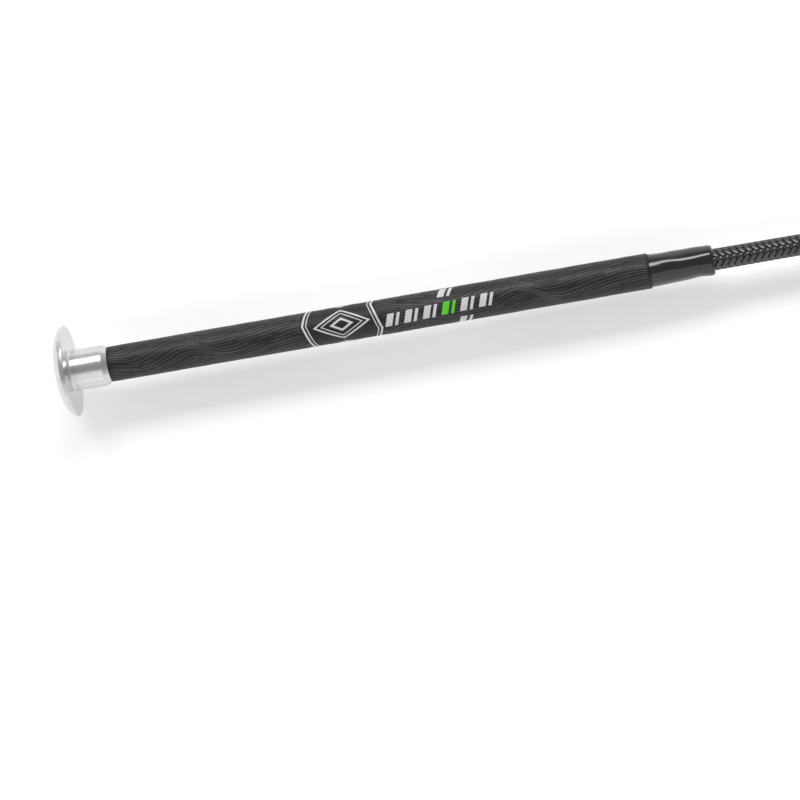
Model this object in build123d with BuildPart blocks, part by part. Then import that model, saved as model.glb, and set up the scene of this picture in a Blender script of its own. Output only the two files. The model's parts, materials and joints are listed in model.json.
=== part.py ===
"""Dressage riding whip: mushroom cap, grip, braided flexible shaft, padded keeper and a knotted lash.

The whip lies on the surface Z = 0 with its axis in the XZ plane. The rim of the cap and the belly of
the keeper touch the surface, so the axis falls slightly towards the tip, which points along +X. The
origin is at the bottom centre of the whip without its lash.

Stations are distances along the whip's axis from the crown of the cap. All lengths are in millimetres.
"""

import os
from math import asin, cos, pi, radians, sin, tan

from build123d import *

# ---- driving dimensions --------------------------------------------------------------------------
stick_length = 1100.0  # crown of the cap to the mouth of the keeper

cap_radius = 17.9
cap_crown_height = 4.8  # crown to the plane of the rim
cap_rim_round = 0.6
cap_rim_fall = 0.24  # how far the rim's rounded sides stand inside its largest radius
cap_dome_station = 1.3  # a point of the dome between its crown and its rim
cap_dome_radius = 11.3
cap_groove_station = 0.86
cap_groove_radius = 9.6
cap_groove_width = 0.7
neck_radius = 7.9
neck_length = 15.4
neck_chamfer_length = 2.1
neck_root_fillet = 0.9

grip_radius = 6.8
grip_length = 211.2
grip_edge_round = 0.4

tube_radius = 5.3
tube_bore_radius = 4.3
tube_start = 8.0
tube_overlap = 11.6  # the tube runs on past the grip, under the collar

plug_length = 18.0
plug_chamfer = 0.8
bush_length = 24.0
rod_start = 30.0

rod_butt_radius = 2.6
rod_tip_radius = 0.8
rod_tip_gap = 14.0  # rod end to the mouth of the keeper

filler_butt_radius = 3.5
braid_butt_radius = 4.3
braid_wall_at_tip = 0.55
braid_taper = 0.00321  # radius lost per millimetre
braid_tip_gap = 8.0  # end of the shaft braid to the mouth of the keeper

collar_length = 24.3
collar_wall = 1.0
collar_front_wall = 1.05
collar_lip = 2.6
collar_slope_share = 0.45  # share of the collar's length at which its slope steepens
collar_slope_wall = 0.85
lip_bend_gap = 0.65  # the lip's rounded corner, back from the collar's end
lip_bend_wall = 0.58
lip_tuck = 0.1  # how far the lip's end lies inside the binding's radius
binding_radius = 4.9
binding_length = 9.4

tip_cap_length = 12.0
tip_cap_floor = 0.4

keeper_start_gap = 97.0  # mouth of the keeper back to its first turn
keeper_step = 0.55
keeper_shoulder_radius = 3.38
keeper_belly_radius = 3.8
keeper_mouth_radius = 2.65
keeper_wall = 0.8
padding_start_gap = 82.0

tail_radius = 1.7
tail_end_radius = 2.2
tail_flare_length = 2.1
hitch_radius = 1.4
lash_radius = 1.35

bundle_root_radius = 0.27
bundle_end_radius = 0.8
bundle_layer = 0.5  # each layer's height from the middle of the lash
bundle_spacing = 0.3
bundle_lengths = (16.2, 15.6, 15.2, 16.0, 16.6, 15.0, 14.0)
fan_first = 42.0  # bearing of the first bundle, in degrees to the left of the whip
fan_step = -12.0
fray_gap = 0.3

# ---- stations and taper --------------------------------------------------------------------------
rim_station = cap_crown_height
grip_start = rim_station + neck_length
grip_end = grip_start + grip_length
tube_end = grip_end + tube_overlap
collar_end = grip_end + collar_length
rod_end = stick_length - rod_tip_gap
braid_end = stick_length - braid_tip_gap
bush_wall = tube_bore_radius - rod_butt_radius
filler_end = rod_end - tip_cap_length
tip_cap_end = rod_end + tip_cap_floor
keeper_start = stick_length - keeper_start_gap
shoulder_station = stick_length - 48.0
belly_station = stick_length - 24.0
padding_start = stick_length - padding_start_gap
touch_station = stick_length - 29.4  # where the keeper's belly touches the surface
touch_radius = 3.841

tilt = asin((cap_radius - touch_radius) / (touch_station - rim_station))
foremost_station = stick_length + 11.37  # cut end of the keeper's tail
start_x = -foremost_station * cos(tilt) / 2
start_z = cap_radius * cos(tilt) + rim_station * sin(tilt)

whip = Plane(
    origin=(start_x, 0, start_z),
    x_dir=(cos(tilt), 0, -sin(tilt)),
    z_dir=(0, -1, 0),
)
whip_axis = Axis(whip.origin, whip.x_dir)


def tapered(station, first, last, first_station, last_station):
    """Radius at a station on a straight taper."""
    share = (station - first_station) / (last_station - first_station)
    return first + (last - first) * share


def rod_radius(station):
    """Outside of the glass-fibre rod: parallel in the handle, then tapered."""
    return tapered(max(station, tube_end), rod_butt_radius, rod_tip_radius, tube_end, rod_end)


def braid_radius(station):
    """Outside of the shaft braid."""
    return braid_butt_radius - braid_taper * (station - tube_end)


def filler_radius(station):
    """Outside of the filler yarns, which is the inside of the shaft braid."""
    tip_radius = braid_radius(braid_end) - braid_wall_at_tip
    return tapered(station, filler_butt_radius, tip_radius, tube_end, braid_end)


def axis_height(station):
    """Height of the whip's axis above the surface."""
    return start_z - station * sin(tilt)


def at(station, side, height):
    """A point beside the whip: station along it, distance to its left, and height above the surface."""
    return Vector(start_x + station * cos(tilt), side, height)


def corner_radii(points):
    """Radius of each corner's arc: 0.45 of the shorter run, over the tangent of half the turn."""
    radii = []
    for before, corner, after in zip(points, points[1:], points[2:]):
        first = corner - before
        second = after - corner
        half_turn = radians(first.get_angle(second)) / 2
        radii.append(0.45 * min(first.length, second.length) / tan(half_turn))
    return radii


def keeper_curve(inset):
    """Points of the keeper's side from its shoulder over the belly to the mouth, inset from the outside."""
    return (
        (shoulder_station, keeper_shoulder_radius - inset),
        (belly_station, keeper_belly_radius - inset),
        (stick_length, keeper_mouth_radius - inset),
    )


# ---- end cap -------------------------------------------------------------------------------------
# A shallow dome with one turned groove, a thin rounded rim, a flat back and a bored neck.
with BuildPart() as end_cap:
    with BuildSketch(whip):
        with BuildLine():
            crown = ThreePointArc(
                (0, 0),
                (cap_dome_station, cap_dome_radius),
                (rim_station - cap_rim_round, cap_radius - cap_rim_fall),
            )
            rim = ThreePointArc(
                crown @ 1,
                (rim_station, cap_radius),
                (rim_station + cap_rim_round, cap_radius - cap_rim_fall),
            )
            Polyline(
                rim @ 1,
                (rim_station + 2 * cap_rim_round, neck_radius),
                (grip_start - neck_chamfer_length, neck_radius),
                (grip_start, grip_radius),
                (grip_start, 0),
                (0, 0),
            )
        make_face()
    revolve(axis=whip_axis)
    neck_root = end_cap.edges().filter_by(
        lambda edge: edge.geom_type == GeomType.CIRCLE
        and abs(edge.radius - neck_radius) < 0.01
        and abs(whip.to_local_coords(edge.arc_center).X - rim_station) < 3
    )
    fillet(neck_root, neck_root_fillet)
    with BuildSketch(whip):
        with Locations((cap_groove_station, cap_groove_radius)):
            Circle(cap_groove_width / 2)
    revolve(axis=whip_axis, mode=Mode.SUBTRACT)
    with BuildSketch(whip):
        with Locations((tube_start, 0)):
            Rectangle(grip_start - tube_start, tube_radius, align=(Align.MIN, Align.MIN))
    revolve(axis=whip_axis, mode=Mode.SUBTRACT)

# ---- handle: tube, plug, bushes and grip ---------------------------------------------------------
with BuildPart() as handle_tube:
    with BuildSketch(whip):
        with Locations((tube_start, tube_bore_radius)):
            tube_wall = tube_radius - tube_bore_radius
            Rectangle(tube_end - tube_start, tube_wall, align=(Align.MIN, Align.MIN))
    revolve(axis=whip_axis)

with BuildPart() as cap_plug:
    with BuildSketch(whip):
        with Locations((tube_start, 0)):
            Rectangle(plug_length, tube_bore_radius, align=(Align.MIN, Align.MIN))
    revolve(axis=whip_axis)
    chamfer(cap_plug.edges().group_by(Axis.X)[-1], plug_chamfer)

with BuildPart() as rod_butt_bush:
    with BuildSketch(whip):
        with Locations((rod_start, rod_butt_radius)):
            Rectangle(bush_length, bush_wall, align=(Align.MIN, Align.MIN))
    revolve(axis=whip_axis)

with BuildPart() as rod_front_bush:
    with BuildSketch(whip):
        with Locations((tube_end, rod_butt_radius)):
            Rectangle(bush_length, bush_wall, align=(Align.MAX, Align.MIN))
    revolve(axis=whip_axis)

with BuildPart() as grip_sleeve:
    with BuildSketch(whip):
        with Locations((grip_start, tube_radius)):
            grip_wall = grip_radius - tube_radius
            Rectangle(grip_length, grip_wall, align=(Align.MIN, Align.MIN))
    revolve(axis=whip_axis)
    rim_edges = grip_sleeve.edges().filter_by(
        lambda edge: edge.geom_type == GeomType.CIRCLE and abs(edge.radius - grip_radius) < 0.01
    )
    fillet(rim_edges, grip_edge_round)

# ---- shaft: rod, filler yarns, braid -------------------------------------------------------------
with BuildPart() as core_rod:
    with BuildSketch(whip):
        with BuildLine():
            Polyline(
                (rod_start, 0),
                (rod_start, rod_butt_radius),
                (tube_end, rod_butt_radius),
                (rod_end, rod_tip_radius),
                (rod_end, 0),
                close=True,
            )
        make_face()
    revolve(axis=whip_axis)

with BuildPart() as shaft_filler:
    with BuildSketch(whip):
        with BuildLine():
            Polyline(
                (tube_end, rod_radius(tube_end)),
                (tube_end, filler_radius(tube_end)),
                (filler_end, filler_radius(filler_end)),
                (filler_end, rod_radius(filler_end)),
                close=True,
            )
        make_face()
    revolve(axis=whip_axis)

with BuildPart() as shaft_braid:
    with BuildSketch(whip):
        with BuildLine():
            Polyline(
                (tube_end, filler_radius(tube_end)),
                (tube_end, braid_radius(tube_end)),
                (braid_end, braid_radius(braid_end)),
                (braid_end, 0),
                (tip_cap_end, 0),
                (tip_cap_end, filler_radius(tip_cap_end)),
                close=True,
            )
        make_face()
    revolve(axis=whip_axis)

with BuildPart() as tip_cap:
    with BuildSketch(whip):
        with BuildLine():
            Polyline(
                (filler_end, rod_radius(filler_end)),
                (filler_end, filler_radius(filler_end)),
                (tip_cap_end, filler_radius(tip_cap_end)),
                (tip_cap_end, 0),
                (rod_end, 0),
                (rod_end, rod_radius(rod_end)),
                close=True,
            )
        make_face()
    revolve(axis=whip_axis)

# ---- collar and the thread that binds the braid under it -----------------------------------------
binding_start = tube_end
binding_end = binding_start + binding_length
with BuildPart() as braid_binding:
    with BuildSketch(whip):
        with BuildLine():
            Polyline(
                (binding_start, braid_radius(binding_start)),
                (binding_start, binding_radius),
                (binding_end, binding_radius),
                (binding_end, braid_radius(binding_end)),
                close=True,
            )
        make_face()
    revolve(axis=whip_axis)

with BuildPart() as collar_sleeve:
    with BuildSketch(whip):
        with BuildLine():
            back = Line((grip_end, tube_radius), (grip_end, tube_radius + collar_wall))
            waist = Spline(
                back @ 1,
                (grip_end + collar_slope_share * collar_length, tube_radius + collar_slope_wall),
                (collar_end - collar_lip, binding_radius + collar_front_wall),
            )
            lip = ThreePointArc(
                waist @ 1,
                (collar_end - lip_bend_gap, binding_radius + lip_bend_wall),
                (collar_end, binding_radius - lip_tuck),
            )
            Polyline(
                lip @ 1,
                (collar_end, braid_radius(collar_end)),
                (binding_end, braid_radius(binding_end)),
                (binding_end, binding_radius),
                (tube_end, binding_radius),
                (tube_end, tube_radius),
                back @ 0,
            )
        make_face()
    revolve(axis=whip_axis)

# ---- keeper: padding, braid and plaited tail -----------------------------------------------------
with BuildPart() as keeper_padding:
    with BuildSketch(whip):
        with BuildLine():
            inside = keeper_curve(keeper_wall)
            Line((padding_start, braid_radius(padding_start)), inside[0])
            ThreePointArc(*inside)
            Polyline(
                inside[2],
                (stick_length, 0),
                (braid_end, 0),
                (braid_end, braid_radius(braid_end)),
                (padding_start, braid_radius(padding_start)),
            )
        make_face()
    revolve(axis=whip_axis)

with BuildPart() as keeper_braid:
    with BuildSketch(whip):
        with BuildLine():
            outside = keeper_curve(0)
            inside = keeper_curve(keeper_wall)
            first_turn = (keeper_start, braid_radius(keeper_start) + keeper_step)
            Line(first_turn, outside[0])
            ThreePointArc(*outside)
            Line(outside[2], inside[2])
            ThreePointArc(*inside)
            Polyline(
                inside[0],
                (padding_start, braid_radius(padding_start)),
                (keeper_start, braid_radius(keeper_start)),
                first_turn,
            )
        make_face()
    revolve(axis=whip_axis)

# The tail leaves the mouth along the axis, climbs over the lash and comes down to the surface, where it is
# cut off and flares.
tail_points = [
    at(stick_length, 0, axis_height(stick_length)),
    at(stick_length + 3.0, 0, axis_height(stick_length + 3.0)),
    at(stick_length + 6.4, -2.3, 4.9),
    at(stick_length + 7.9, -4.8, 4.75),
    at(stick_length + 8.7, -6.4, 3.3),
]
with BuildPart() as keeper_tail:
    with BuildLine() as tail_route:
        FilletPolyline(*tail_points, radius=corner_radii(tail_points))
    with BuildSketch(Plane(origin=tail_route.line @ 0, z_dir=tail_route.line % 0)):
        Circle(tail_radius)
    sweep(path=tail_route.line)
    cut = Plane(origin=tail_points[-1], z_dir=tail_route.line % 1)
    with BuildSketch(cut):
        Circle(tail_radius)
    with BuildSketch(cut.offset(tail_flare_length)):
        Circle(tail_end_radius)
    loft()

# ---- lash: hitch round the tail's root, free cord and tassel -------------------------------------
hitch_points = [
    at(stick_length + 3.0, 4.4, 6.0),
    at(stick_length + 2.4, 1.3, 7.0),
    at(stick_length + 2.2, -2.0, 6.6),
    at(stick_length + 2.6, -4.6, 4.2),
    at(stick_length + 4.2, -5.4, 1.46),
    at(stick_length + 7.4, -3.9, 1.42),
    at(stick_length + 10.6, -3.4, 1.42),
]
with BuildPart() as lash_hitch:
    with BuildLine() as hitch_route:
        FilletPolyline(*hitch_points, radius=corner_radii(hitch_points))
    with BuildSketch(Plane(origin=hitch_route.line @ 0, z_dir=hitch_route.line % 0)):
        Circle(hitch_radius)
    sweep(path=hitch_route.line)

lash_points = [
    hitch_points[-1],
    at(stick_length + 18.6, -2.15, 1.42),
    at(stick_length + 31.0, -0.4, 1.42),
    at(stick_length + 50.0, 1.7, 1.42),
    at(stick_length + 70.0, 4.0, 1.42),
    at(stick_length + 90.0, 4.7, 1.42),
    at(stick_length + 110.0, 6.8, 1.42),
    at(stick_length + 129.0, 10.1, 1.42),
]
with BuildPart() as lash_cord:
    with BuildLine() as lash_route:
        FilletPolyline(*lash_points, radius=corner_radii(lash_points))
    with BuildSketch(Plane(origin=lash_route.line @ 0, z_dir=lash_route.line % 0)):
        Circle(lash_radius)
    sweep(path=lash_route.line)

# The unravelled end: tapered bundles of fibre that fan out flat, in two layers.
fray = lash_points[-1]
with BuildPart() as tassel:
    for index, length in enumerate(bundle_lengths):
        bearing = radians(fan_first + fan_step * index)
        layer = bundle_layer if index % 2 else -bundle_layer
        sideways = bundle_spacing * (len(bundle_lengths) // 2 - index)
        root = fray + Vector(fray_gap, sideways, layer)
        direction = Vector(cos(bearing), sin(bearing), 0)
        base = Plane(origin=root, z_dir=direction)
        with BuildSketch(base):
            Circle(bundle_root_radius)
        with BuildSketch(base.offset(length)):
            Circle(bundle_end_radius)
        loft()

# ---- output --------------------------------------------------------------------------------------
for name, route, radius, piece in (
    ("lash_hitch", hitch_route, hitch_radius, lash_hitch),
    ("lash_cord", lash_route, lash_radius, lash_cord),
):
    length = route.wire().length
    section = pi * radius**2
    print(name, "route", round(length, 2), "section times length", round(section * length, 2))
    print("  volume", round(piece.part.volume, 2))
for name, points in (("tail", tail_points), ("hitch", hitch_points), ("lash", lash_points)):
    print(name, "corner radii", [round(value, 1) for value in corner_radii(points)])

os.makedirs("parts", exist_ok=True)
pieces = {
    "end_cap": end_cap,
    "cap_plug": cap_plug,
    "handle_tube": handle_tube,
    "rod_butt_bush": rod_butt_bush,
    "rod_front_bush": rod_front_bush,
    "grip_sleeve": grip_sleeve,
    "core_rod": core_rod,
    "shaft_filler": shaft_filler,
    "shaft_braid": shaft_braid,
    "tip_cap": tip_cap,
    "braid_binding": braid_binding,
    "collar_sleeve": collar_sleeve,
    "keeper_padding": keeper_padding,
    "keeper_braid": keeper_braid,
    "keeper_tail": keeper_tail,
    "lash_hitch": lash_hitch,
    "lash_cord": lash_cord,
    "tassel": tassel,
}
for name, piece in pieces.items():
    piece.part.label = name
    export_step(piece.part, f"parts/{name}.step")
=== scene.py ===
"""Looks of a dressage riding whip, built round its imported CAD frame.

Lengths are in metres and angles in radians unless a name says otherwise. A place on the whip is given by its
station, the distance along the axis from the cap's crown, its radius, and its bearing, the angle round the
axis from straight up towards the whip's left (+Y).
"""

import json
import random
from math import cos, log, pi, radians, sin, tan, tau
import bmesh
import bpy
import numpy as np
from mathutils import Matrix, Vector, noise


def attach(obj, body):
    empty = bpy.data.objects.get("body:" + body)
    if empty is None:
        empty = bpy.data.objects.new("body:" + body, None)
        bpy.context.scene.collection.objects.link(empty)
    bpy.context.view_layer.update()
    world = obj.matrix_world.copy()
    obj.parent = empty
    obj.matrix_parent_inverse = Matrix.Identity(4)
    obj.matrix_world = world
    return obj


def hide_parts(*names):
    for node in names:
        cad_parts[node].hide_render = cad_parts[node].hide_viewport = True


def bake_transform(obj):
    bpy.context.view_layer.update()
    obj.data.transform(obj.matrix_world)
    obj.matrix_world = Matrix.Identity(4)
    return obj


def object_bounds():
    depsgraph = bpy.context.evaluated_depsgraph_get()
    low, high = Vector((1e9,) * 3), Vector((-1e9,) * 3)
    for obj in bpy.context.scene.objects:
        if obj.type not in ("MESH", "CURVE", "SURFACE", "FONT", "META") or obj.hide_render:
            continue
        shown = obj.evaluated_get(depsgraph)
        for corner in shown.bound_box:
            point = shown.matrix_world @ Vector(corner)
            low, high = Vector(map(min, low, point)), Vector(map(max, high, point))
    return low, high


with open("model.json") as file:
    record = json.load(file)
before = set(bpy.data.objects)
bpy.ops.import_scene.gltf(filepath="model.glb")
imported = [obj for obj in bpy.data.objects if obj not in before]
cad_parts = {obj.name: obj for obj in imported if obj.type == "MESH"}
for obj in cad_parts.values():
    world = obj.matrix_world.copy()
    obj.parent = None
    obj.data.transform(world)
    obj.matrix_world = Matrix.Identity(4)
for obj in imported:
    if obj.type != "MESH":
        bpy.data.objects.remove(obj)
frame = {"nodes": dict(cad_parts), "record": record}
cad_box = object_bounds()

chance = random.Random(7)

# ---- the whip's axis and the stations of its parts, from the frame -------------------------------
mounts = {mount["name"]: mount for mount in frame["record"]["mounts"]}
AXIS = Vector(mounts["grip"]["axis"]).normalized()
LEFT = Vector((0, 1, 0))
UP = AXIS.cross(LEFT)
GRIP_MIDDLE = Vector(mounts["grip"]["pos_m"])


def stations(node, origin):
    """First and last station of a CAD node, counted from an origin on the axis."""
    along = [(vertex.co - origin).dot(AXIS) for vertex in frame["nodes"][node].data.vertices]
    return min(along), max(along)


CROWN = GRIP_MIDDLE + AXIS * stations("end_cap", GRIP_MIDDLE)[0]


def widest(node):
    """Largest radius of a CAD node about the axis."""
    offsets = [vertex.co - CROWN for vertex in frame["nodes"][node].data.vertices]
    return max((offset - AXIS * offset.dot(AXIS)).length for offset in offsets)


cap_radius = widest("end_cap")
cap_end = stations("end_cap", CROWN)[1]
neck_radius = mounts["cap_neck"]["dims"]["r_mm"] / 1000
grip_start, grip_end = stations("grip_sleeve", CROWN)
grip_radius = widest("grip_sleeve")
tube_radius = widest("handle_tube")
tube_end = stations("handle_tube", CROWN)[1]
collar_end = stations("collar_sleeve", CROWN)[1]
binding_radius = widest("braid_binding")
rod_start, rod_end = stations("core_rod", CROWN)
rod_radius = widest("core_rod")
filler_end = stations("shaft_filler", CROWN)[1]
filler_radius = widest("shaft_filler")
braid_end = stations("shaft_braid", CROWN)[1]
braid_radius = widest("shaft_braid")
keeper_start, mouth = stations("keeper_braid", CROWN)
MOUTH = CROWN + AXIS * mouth

BRAID_TAPER = 0.00321  # radius lost per metre of shaft
ROD_TIP_RADIUS = 0.0008
FILLER_TIP_RADIUS = 0.00102


def shaft_radius(station):
    """Outside of the shaft braid."""
    return braid_radius - BRAID_TAPER * (station - tube_end)


def beside(ahead, side, height):
    """A point past the keeper's mouth: distance ahead, distance to the left, height above the surface."""
    return Vector((MOUTH.x + ahead * AXIS.x, side, height))


def axis_height(ahead):
    """Height of the whip's axis this far past the mouth."""
    return MOUTH.z + ahead * AXIS.z


# ---- camera --------------------------------------------------------------------------------------
# The camera hangs above the collar and looks down, a little towards the cap and the whip's right. The whip
# rises to the right of the frame.
EYE_STATION = 0.240
EYE_HEIGHT = 1.25
AIM_STATION = 0.1288
AIM_SIDE = -0.0325
FRAME_WIDTH = 0.3070  # width that the frame covers at the whip
RISE = radians(9.7)

aim = CROWN + AXIS * AIM_STATION + LEFT * AIM_SIDE
eye = CROWN + AXIS * EYE_STATION + UP * EYE_HEIGHT
back = (eye - aim).normalized()
seen_axis = (AXIS - back * AXIS.dot(back)).normalized()
seen_left = back.cross(seen_axis)
camera_right = seen_axis * cos(RISE) - seen_left * sin(RISE)
camera_up = back.cross(camera_right)


def placed(right, up, backward, position):
    """The matrix of a camera or light with these three directions, which looks against backward."""
    rows = [(*row, spot) for row, spot in zip(zip(right, up, backward), position)]
    return Matrix([*rows, (0, 0, 0, 1)])


camera_data = bpy.data.cameras.new("camera")
camera_data.sensor_width = 36
camera_data.lens = camera_data.sensor_width * (eye - aim).length / FRAME_WIDTH
camera_data.clip_start = 0.01
camera_data.clip_end = 50
camera = bpy.data.objects.new("camera", camera_data)
bpy.context.collection.objects.link(camera)
camera.matrix_world = placed(camera_right, camera_up, back, eye)
bpy.context.scene.camera = camera


# ---- lines and tubes -----------------------------------------------------------------------------
def smooth_line(points):
    """Points of the NURBS spline that has the given control points."""
    curve = bpy.data.curves.new("route", "CURVE")
    curve.dimensions = "3D"
    curve.resolution_u = 24
    spline = curve.splines.new("NURBS")
    spline.points.add(len(points) - 1)
    for control, point in zip(spline.points, points):
        control.co = (*point, 1)
    spline.order_u = 3
    spline.use_endpoint_u = True
    holder = bpy.data.objects.new("route", curve)
    mesh = bpy.data.meshes.new_from_object(holder)
    line = [vertex.co.copy() for vertex in mesh.vertices]
    bpy.data.objects.remove(holder)
    bpy.data.meshes.remove(mesh)
    return line


class Line:
    """A path with a frame along it. Bearing 0 is at the first normal and turns towards normal x tangent."""

    def __init__(self, points, normal):
        points = [Vector(point) for point in points]
        tangents = []
        for index in range(len(points)):
            before = points[max(index - 1, 0)]
            after = points[min(index + 1, len(points) - 1)]
            tangents.append((after - before).normalized())
        normals = []
        for tangent in tangents:
            normal = (normal - tangent * normal.dot(tangent)).normalized()
            normals.append(normal)
        self.points = np.array(points)
        self.normals = np.array(normals)
        self.sides = np.array([up.cross(tangent) for up, tangent in zip(normals, tangents)])
        runs = np.linalg.norm(np.diff(self.points, axis=0), axis=1)
        self.stations = np.concatenate(([0.0], np.cumsum(runs)))
        self.length = float(self.stations[-1])
        self.tangents = np.array(tangents)

    def read(self, rows, station):
        """The rows' value at each station."""
        return np.stack([np.interp(station, self.stations, rows[:, k]) for k in range(3)], axis=-1)

    def place(self, station, radius, bearing):
        """Points at these stations, radii and bearings. Past either end the line runs on straight."""
        station = np.asarray(station, float)
        centre = self.read(self.points, station)
        over = np.clip(station - self.length, 0, None) + np.clip(station, None, 0)
        centre = centre + self.read(self.tangents, station) * over[..., None]
        outward = self.read(self.normals, station) * np.cos(bearing)[..., None]
        outward = outward + self.read(self.sides, station) * np.sin(bearing)[..., None]
        return centre + outward * np.asarray(radius)[..., None]


WHIP = Line([CROWN, MOUTH], UP)


class Build:
    """Closed shells that become one mesh. Each vertex keeps its place in its own strand, for the material."""

    def __init__(self):
        self.points = []
        self.threads = []
        self.faces = []
        self.slots = []
        self.count = 0

    def shell(self, rings, thread=None, slot=0, looped=False):
        """Rings of points joined in order, with the ends closed, or joined to each other if looped."""
        rings = np.asarray(rings, float)
        rows, sides = rings.shape[:2]
        if thread is None:
            thread = np.zeros_like(rings)
        first = np.arange(rows if looped else rows - 1)[:, None] * sides
        step = np.arange(sides)[None, :]
        follow = (step + 1) % sides
        after = (first + sides) % (rows * sides)
        quads = np.stack([first + step, first + follow, after + follow, after + step], axis=-1)
        faces = (quads.reshape(-1, 4) + self.count).tolist()
        if not looped:
            faces.append((np.arange(sides)[::-1] + self.count).tolist())
            faces.append((np.arange(sides) + (rows - 1) * sides + self.count).tolist())
        self.points.append(rings.reshape(-1, 3))
        self.threads.append(np.asarray(thread, float).reshape(-1, 3))
        self.faces.extend(faces)
        self.slots.extend([slot] * len(faces))
        self.count += rows * sides

    def piece(self, name, finishes, sharp_degrees=None):
        """The mesh object, with outward normals and its materials."""
        mesh = bpy.data.meshes.new(name)
        mesh.from_pydata(np.concatenate(self.points).tolist(), [], self.faces)
        for finish in finishes:
            mesh.materials.append(finish)
        mesh.polygons.foreach_set("material_index", self.slots)
        thread = mesh.attributes.new("thread", "FLOAT_VECTOR", "POINT")
        thread.data.foreach_set("vector", np.concatenate(self.threads).ravel())
        shape = bmesh.new()
        shape.from_mesh(mesh)
        bmesh.ops.recalc_face_normals(shape, faces=shape.faces)
        shape.to_mesh(mesh)
        shape.free()
        mesh.shade_smooth()
        if sharp_degrees:
            mesh.set_sharp_from_angle(angle=radians(sharp_degrees))
        made = bpy.data.objects.new(name, mesh)
        bpy.context.collection.objects.link(made)
        return made


def lathe(build, profile, sides=128, slot=0, looped=False, wobble=None):
    """Turns (station, radius) points about the axis, with wobble(station, bearing) added to the radius."""
    bearings = np.linspace(0, tau, sides, endpoint=False)
    rings = []
    threads = []
    for station, radius in profile:
        radii = np.full(sides, radius)
        if wobble:
            radii = radii + [wobble(station, bearing) for bearing in bearings]
        rings.append(WHIP.place(np.full(sides, station), radii, bearings))
        threads.append(np.stack([np.full(sides, station), np.full(sides, radius), bearings], axis=-1))
    build.shell(rings, threads, slot, looped)


def even(first, last, step):
    """Values from first to last, about a step apart."""
    return np.linspace(first, last, max(2, round(abs(last - first) / step) + 1))


# ---- braids --------------------------------------------------------------------------------------
# A strand's cross-section: places across its width, and heights, as shares of its width and thickness.
SECTION = np.array([(-0.5, -0.05), (-0.38, 0.41), (0, 0.5), (0.38, 0.41), (0.5, -0.05), (0, -0.5)])
SQUARENESS = 3.6  # how quickly a strand climbs over its neighbours
LINER_DEPTH = 1.75  # strand thicknesses from the outside of a braid to its liner
LOOSE_GRAIN = 260  # how quickly loose strands wander, per metre
LOWEST_RISE = -0.4  # how far in a loose strand may move, as a share of its looseness


def braid(
    build,
    line,
    first,
    last,
    radius,
    leads,
    each_way,
    thickness,
    per_turn,
    column=0.0,
    fill=0.96,
    looseness=None,
    flatness=0.0,
):
    """Strands wound both ways round a line, each over two and under two of the others.

    radius(station) is the braid's outside. leads are the lengths of one turn at the first and last station.
    column is the bearing of one edge between the columns in which one family or the other lies on top.
    looseness(station) lifts and shifts the strands at random. flatness draws each column towards a flat
    facet, as tight strands lie, about the same mean radius.
    """
    growth = (leads[1] - leads[0]) / (last - first)
    if abs(growth) < 1e-9:
        turns = (last - first) / leads[0]
    else:
        turns = log(leads[1] / leads[0]) / growth
    count = round(turns * per_turn) + 1
    turn = np.linspace(0, turns, count)
    if abs(growth) < 1e-9:
        station = first + leads[0] * turn
    else:
        station = first + leads[0] / growth * (np.exp(growth * turn) - 1)
    lead = leads[0] + growth * (station - first)
    outside = radius(station)
    thick = thickness(station) if callable(thickness) else np.full(count, thickness)
    waves = each_way / 2
    middle = outside - thick
    slant = np.arctan2(tau * middle, lead)
    width = fill * lead / each_way * np.sin(slant)
    shift = 2 * (column + pi / 2 / each_way)
    half_column = pi / each_way
    mean_facet = cos(half_column) * log(1 / cos(half_column) + tan(half_column)) / half_column
    for way in (-1, 1):
        for strand in range(each_way):
            bearing = way * tau * turn + tau * strand / each_way + (shift if way < 0 else 0)
            lift = np.tanh(SQUARENESS * np.sin(waves * (bearing - column))) / np.tanh(SQUARENESS)
            off_middle = (bearing - column) % (2 * half_column) - half_column
            facet = cos(half_column) / np.cos(off_middle) - mean_facet
            height = middle * (1 + flatness * facet) - way * lift * thick / 2
            wander = np.zeros(count)
            tag = chance.random()
            if looseness:
                loose = looseness(station)
                drift = [noise.noise(Vector((s * LOOSE_GRAIN, 9 * tag, way))) for s in station]
                rise = [noise.noise(Vector((s * LOOSE_GRAIN, 9 * tag, way + 40))) for s in station]
                wander = loose * np.array(drift)
                height = height + loose * np.clip(rise, LOWEST_RISE, 1)
            across = SECTION[None, :, 0] * width[:, None]
            along = station[:, None] - across * np.sin(slant)[:, None]
            round_it = across * np.cos(slant)[:, None] * way + wander[:, None]
            radii = height[:, None] + SECTION[None, :, 1] * thick[:, None]
            rings = line.place(along, radii, bearing[:, None] + round_it / height[:, None])
            distance = np.broadcast_to((turn * tau * np.hypot(middle, lead / tau))[:, None], across.shape)
            tags = np.full(across.shape, tag)
            build.shell(rings, np.stack([distance, across, tags], axis=-1))


# ---- materials -----------------------------------------------------------------------------------
def node(material, kind, inputs=None, **settings):
    """A shader node with its settings, and its inputs given as values or as sockets to link."""
    made = material.node_tree.nodes.new(kind)
    for key, value in settings.items():
        setattr(made, key, value)
    for key, value in (inputs or {}).items():
        if isinstance(value, bpy.types.NodeSocket):
            material.node_tree.links.new(value, made.inputs[key])
        else:
            made.inputs[key].default_value = value
    return made


def ramp(material, factor, stops):
    """Colours at places from 0 to 1."""
    made = node(material, "ShaderNodeValToRGB", {"Fac": factor})
    elements = made.color_ramp.elements
    while len(elements) < len(stops):
        elements.new(0.5)
    for element, (place, colour) in zip(elements, stops):
        element.position = place
        element.color = (*colour, 1)
    return made.outputs["Color"]


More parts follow.
